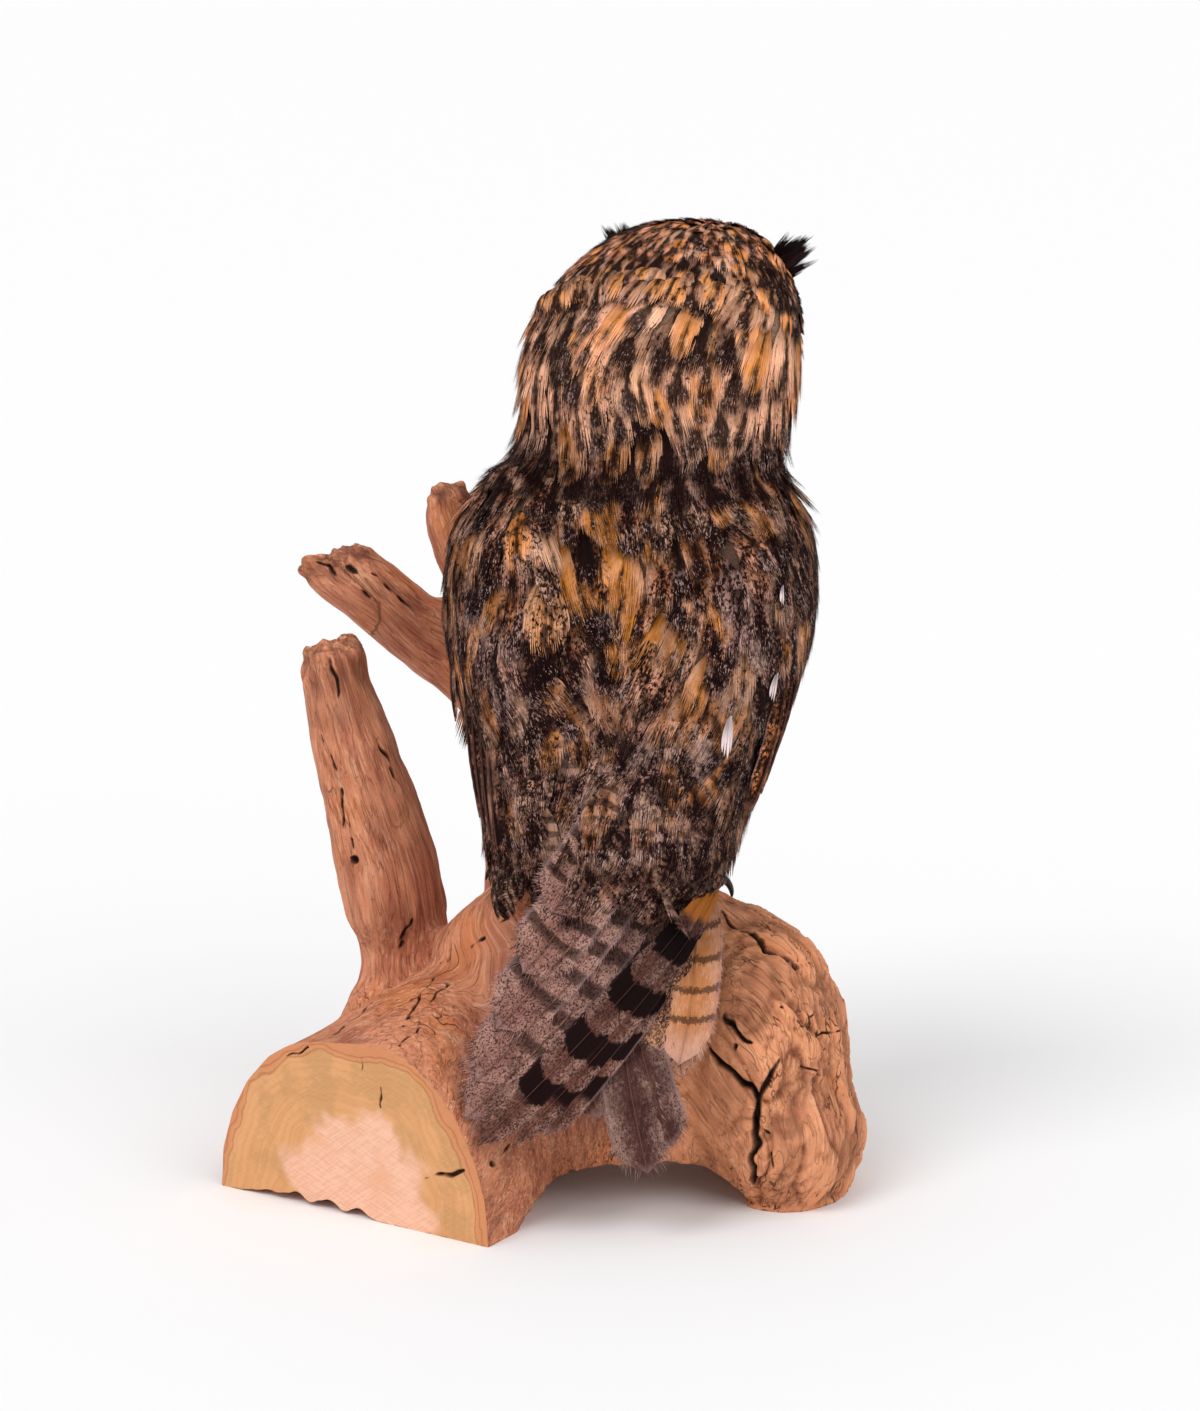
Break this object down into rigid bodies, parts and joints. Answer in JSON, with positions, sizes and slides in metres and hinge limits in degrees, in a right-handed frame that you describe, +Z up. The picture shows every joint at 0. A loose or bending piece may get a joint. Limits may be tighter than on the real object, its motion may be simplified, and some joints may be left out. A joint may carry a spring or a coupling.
{
  "type": "taxidermy eagle owl",
  "caption": "Life-size mounted eagle owl with folded wings, standing with its back to the viewer on a weathered piece of branching driftwood.",
  "frame": {"origin": "on the floor, under the middle of the mount's box", "axes": "+Z up, the owl faces +Y with its back to -Y, and +X is on its right side"},
  "size_m": [0.3754, 0.313, 0.554],
  "materials": {
    "plumage": "soft barred and streaked feathers",
    "flight_feathers": "soft barred flight feathers",
    "ear_tufts": "loose black feathers",
    "horn": "smooth dark horn",
    "glass_eye": "polished glass",
    "driftwood": "weathered, dry and cracked"
  },
  "bodies": {
    "root": {"head": "plumage", "neck": "plumage", "trunk": "plumage", "leg_left": "plumage", "leg_right": "plumage", "foot_left": "plumage", "foot_right": "plumage", "tail": "flight_feathers", "wing_left": "flight_feathers", "wing_right": "flight_feathers", "wing_left_quills": "flight_feathers", "wing_right_quills": "flight_feathers", "ear_tuft_left": "ear_tufts", "ear_tuft_right": "ear_tufts", "bill_upper": "horn", "bill_lower": "horn", "claw_left_inner": "horn", "claw_left_middle": "horn", "claw_left_outer": "horn", "claw_left_hind": "horn", "claw_right_inner": "horn", "claw_right_middle": "horn", "claw_right_outer": "horn", "claw_right_hind": "horn", "eye_left": "glass_eye", "eye_right": "glass_eye", "driftwood": "driftwood"}
  },
  "joints": []
}
